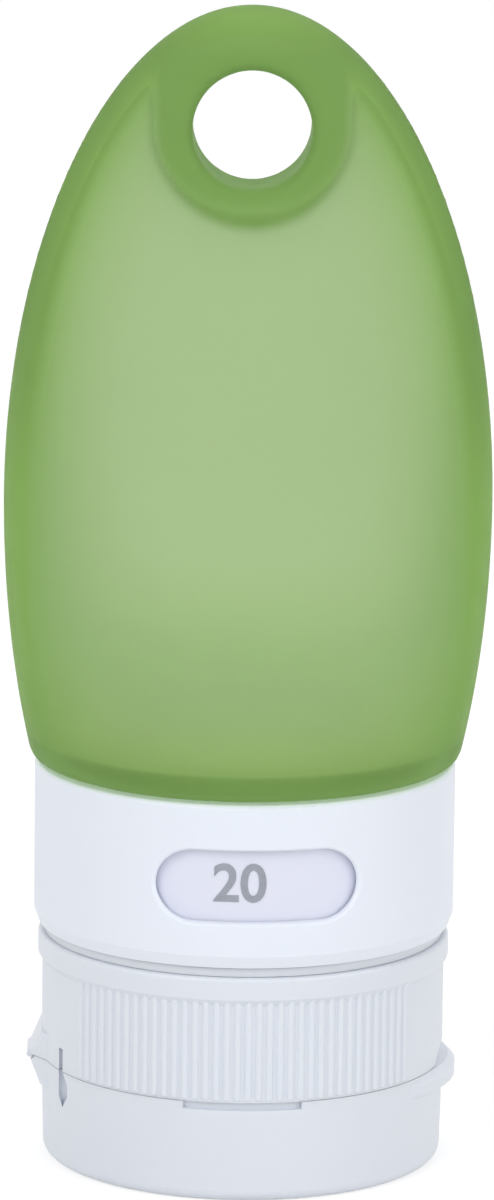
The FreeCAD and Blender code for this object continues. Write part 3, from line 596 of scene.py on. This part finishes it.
def make_dial_numbers(material):
    """Plain numbers wrapped round the label ring, one of which shows in the window."""
    for index, number in enumerate(DIAL_NUMBERS):
        mesh = number_mesh(str(number))
        middle = DIAL_TURN + index * 2 * math.pi / len(DIAL_NUMBERS)
        for vertex in mesh.vertices:
            angle = middle + vertex.co.x / DIAL_RADIUS
            radius = DIAL_RADIUS + vertex.co.z + (DIAL_PROUD - DIAL_SINK) / 2
            vertex.co = (radius * math.sin(angle), -radius * math.cos(angle), DIAL_LEVEL + vertex.co.y)
        mesh.materials.clear()
        mesh.materials.append(material)
        piece = bpy.data.objects.new(f"dial_number_{number}", mesh)
        bpy.context.scene.collection.objects.link(piece)
        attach(piece, "bottle")


def dress_bottle():
    plastics = {name: plastic_material(name, *finish) for name, finish in PLASTICS.items()}
    for node_name, plastic in PLASTIC_NODES.items():
        wear(node_name, plastics[plastic])
    wear("slit_valve", valve_material())
    make_silicone_body(silicone_material())
    make_dial_numbers(ink_material())
    make_thread(
        "neck_thread",
        NECK_ROOT,
        NECK_CREST,
        NECK_THREAD_LOW,
        NECK_THREAD_TURNS,
        plastics["ring_plastic"],
        "bottle",
    )
    make_thread(
        "cap_thread",
        CAP_ROOT,
        CAP_CREST,
        CAP_THREAD_LOW,
        CAP_THREAD_TURNS,
        plastics["cap_plastic"],
        "cap",
    )


# Stage


def seen_directly(tree):
    """1 for rays from the camera, from a mirror or through glass, which see the white backdrop."""
    path = tree.nodes.new("ShaderNodeLightPath")
    seen = path.outputs["Is Camera Ray"]
    for name in ("Is Glossy Ray", "Is Transmission Ray"):
        either = tree.nodes.new("ShaderNodeMath")
        either.operation = "MAXIMUM"
        tree.links.new(seen, either.inputs[0])
        tree.links.new(path.outputs[name], either.inputs[1])
        seen = either.outputs["Value"]
    return seen


def floor_material():
    """White to the eye apart from the object's shadow, and a plain pale floor to the light."""
    material = bpy.data.materials.new("floor")
    material.use_nodes = True
    tree = material.node_tree
    tree.nodes.remove(tree.nodes["Principled BSDF"])
    pale = tree.nodes.new("ShaderNodeBsdfDiffuse")
    pale.inputs["Color"].default_value = FLOOR_COLOUR
    glow = tree.nodes.new("ShaderNodeEmission")
    glow.inputs["Strength"].default_value = FLOOR_GLOW
    shade = tree.nodes.new("ShaderNodeBsdfDiffuse")
    shade.inputs["Color"].default_value = FLOOR_SHADE_COLOUR
    lit = tree.nodes.new("ShaderNodeAddShader")
    tree.links.new(glow.outputs["Emission"], lit.inputs[0])
    tree.links.new(shade.outputs["BSDF"], lit.inputs[1])
    choice = tree.nodes.new("ShaderNodeMixShader")
    tree.links.new(seen_directly(tree), choice.inputs["Fac"])
    tree.links.new(pale.outputs["BSDF"], choice.inputs[1])
    tree.links.new(lit.outputs["Shader"], choice.inputs[2])
    tree.links.new(choice.outputs["Shader"], tree.nodes["Material Output"].inputs["Surface"])
    return material


def make_floor():
    half = FLOOR_SIZE / 2
    corners = [(-half, -half, 0), (half, -half, 0), (half, half, 0), (-half, half, 0)]
    floor = add_mesh("floor", corners, [(0, 1, 2, 3)], floor_material(), smooth=False)


def make_world():
    world = bpy.data.worlds.new("studio")
    world.use_nodes = True
    tree = world.node_tree
    light = tree.nodes["Background"]
    light.inputs["Color"].default_value = WHITE
    light.inputs["Strength"].default_value = WORLD_LEVEL
    white = tree.nodes.new("ShaderNodeBackground")
    white.inputs["Color"].default_value = WHITE
    white.inputs["Strength"].default_value = BACKDROP_LEVEL
    choice = tree.nodes.new("ShaderNodeMixShader")
    tree.links.new(seen_directly(tree), choice.inputs["Fac"])
    tree.links.new(light.outputs["Background"], choice.inputs[1])
    tree.links.new(white.outputs["Background"], choice.inputs[2])
    tree.links.new(choice.outputs["Shader"], tree.nodes["World Output"].inputs["Surface"])
    bpy.context.scene.world = world


def make_lamps():
    for name, place, size, level in LAMPS:
        data = bpy.data.lights.new(name, "AREA")
        data.shape = "SQUARE"
        data.size = size
        data.energy = level * math.pi**2 * (place - LAMP_TARGET).length_squared
        lamp = bpy.data.objects.new(name, data)
        lamp.location = place
        lamp.rotation_euler = (LAMP_TARGET - place).to_track_quat("-Z", "Y").to_euler()
        bpy.context.scene.collection.objects.link(lamp)


def make_camera():
    data = bpy.data.cameras.new("camera")
    data.lens = CAMERA_LENS
    data.sensor_width = CAMERA_SENSOR
    camera = bpy.data.objects.new("camera", data)
    place = Vector(
        (
            CAMERA_DISTANCE * math.sin(CAMERA_AZIMUTH),
            -CAMERA_DISTANCE * math.cos(CAMERA_AZIMUTH),
            CAMERA_HEIGHT,
        )
    )
    heading = Matrix.Rotation(CAMERA_AZIMUTH, 4, "Z")
    tilt = Matrix.Rotation(math.pi / 2 - CAMERA_PITCH, 4, "X")
    roll = Matrix.Rotation(CAMERA_ROLL, 4, "Z")
    camera.matrix_world = Matrix.Translation(place) @ heading @ tilt @ roll
    bpy.context.scene.collection.objects.link(camera)
    bpy.context.scene.camera = camera


bpy.context.scene.view_settings.view_transform = "Standard"
dress_bottle()
make_floor()
make_world()
make_lamps()
make_camera()
